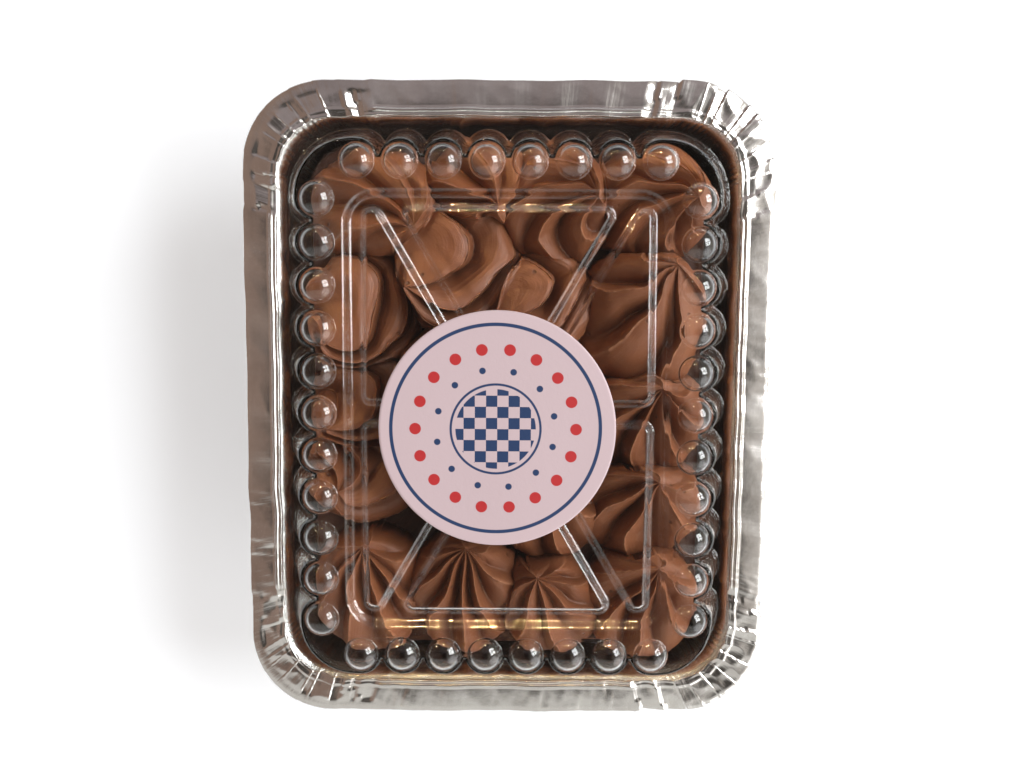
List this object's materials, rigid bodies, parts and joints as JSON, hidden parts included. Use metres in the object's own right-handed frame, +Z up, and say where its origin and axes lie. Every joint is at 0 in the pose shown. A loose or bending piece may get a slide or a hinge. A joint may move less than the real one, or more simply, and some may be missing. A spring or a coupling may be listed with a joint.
{
  "type": "chocolate tray cake",
  "caption": "Chocolate cake with piped chocolate frosting in a crinkled foil tray, shut under a clear dome lid with a round paper sticker on top.",
  "frame": {"origin": "middle of the tray's flat underside, on the surface it stands on", "axes": "+Z up, +Y along the tray's long side towards the top of the picture, +X along its short side to the right of the picture"},
  "size_m": [0.118, 0.144, 0.0566],
  "materials": {
    "foil": "thin rolled foil, bright, with fine wrinkles and pleated corners",
    "clear_plastic": "clear vacuum-formed sheet, glossy",
    "sticker_paper": "matt coated paper printed in pale pink, navy and red",
    "sponge": "baked chocolate sponge, dull and porous",
    "frosting": "smooth piped chocolate buttercream with a soft sheen"
  },
  "bodies": {
    "root": {"foil_tray": "foil", "lid": "clear_plastic", "sticker": "sticker_paper", "sponge": "sponge", "frosting_coat": "frosting", "swirl_a1": "frosting", "swirl_a2": "frosting", "swirl_a3": "frosting", "swirl_a4": "frosting", "swirl_b1": "frosting", "swirl_b2": "frosting", "swirl_b3": "frosting", "swirl_b4": "frosting", "swirl_c1": "frosting", "swirl_c2": "frosting", "swirl_c3": "frosting", "swirl_c4": "frosting", "swirl_d1": "frosting", "swirl_d2": "frosting", "swirl_d3": "frosting", "swirl_d4": "frosting", "swirl_e1": "frosting", "swirl_e2": "frosting", "swirl_e3": "frosting", "swirl_e4": "frosting"}
  },
  "joints": []
}
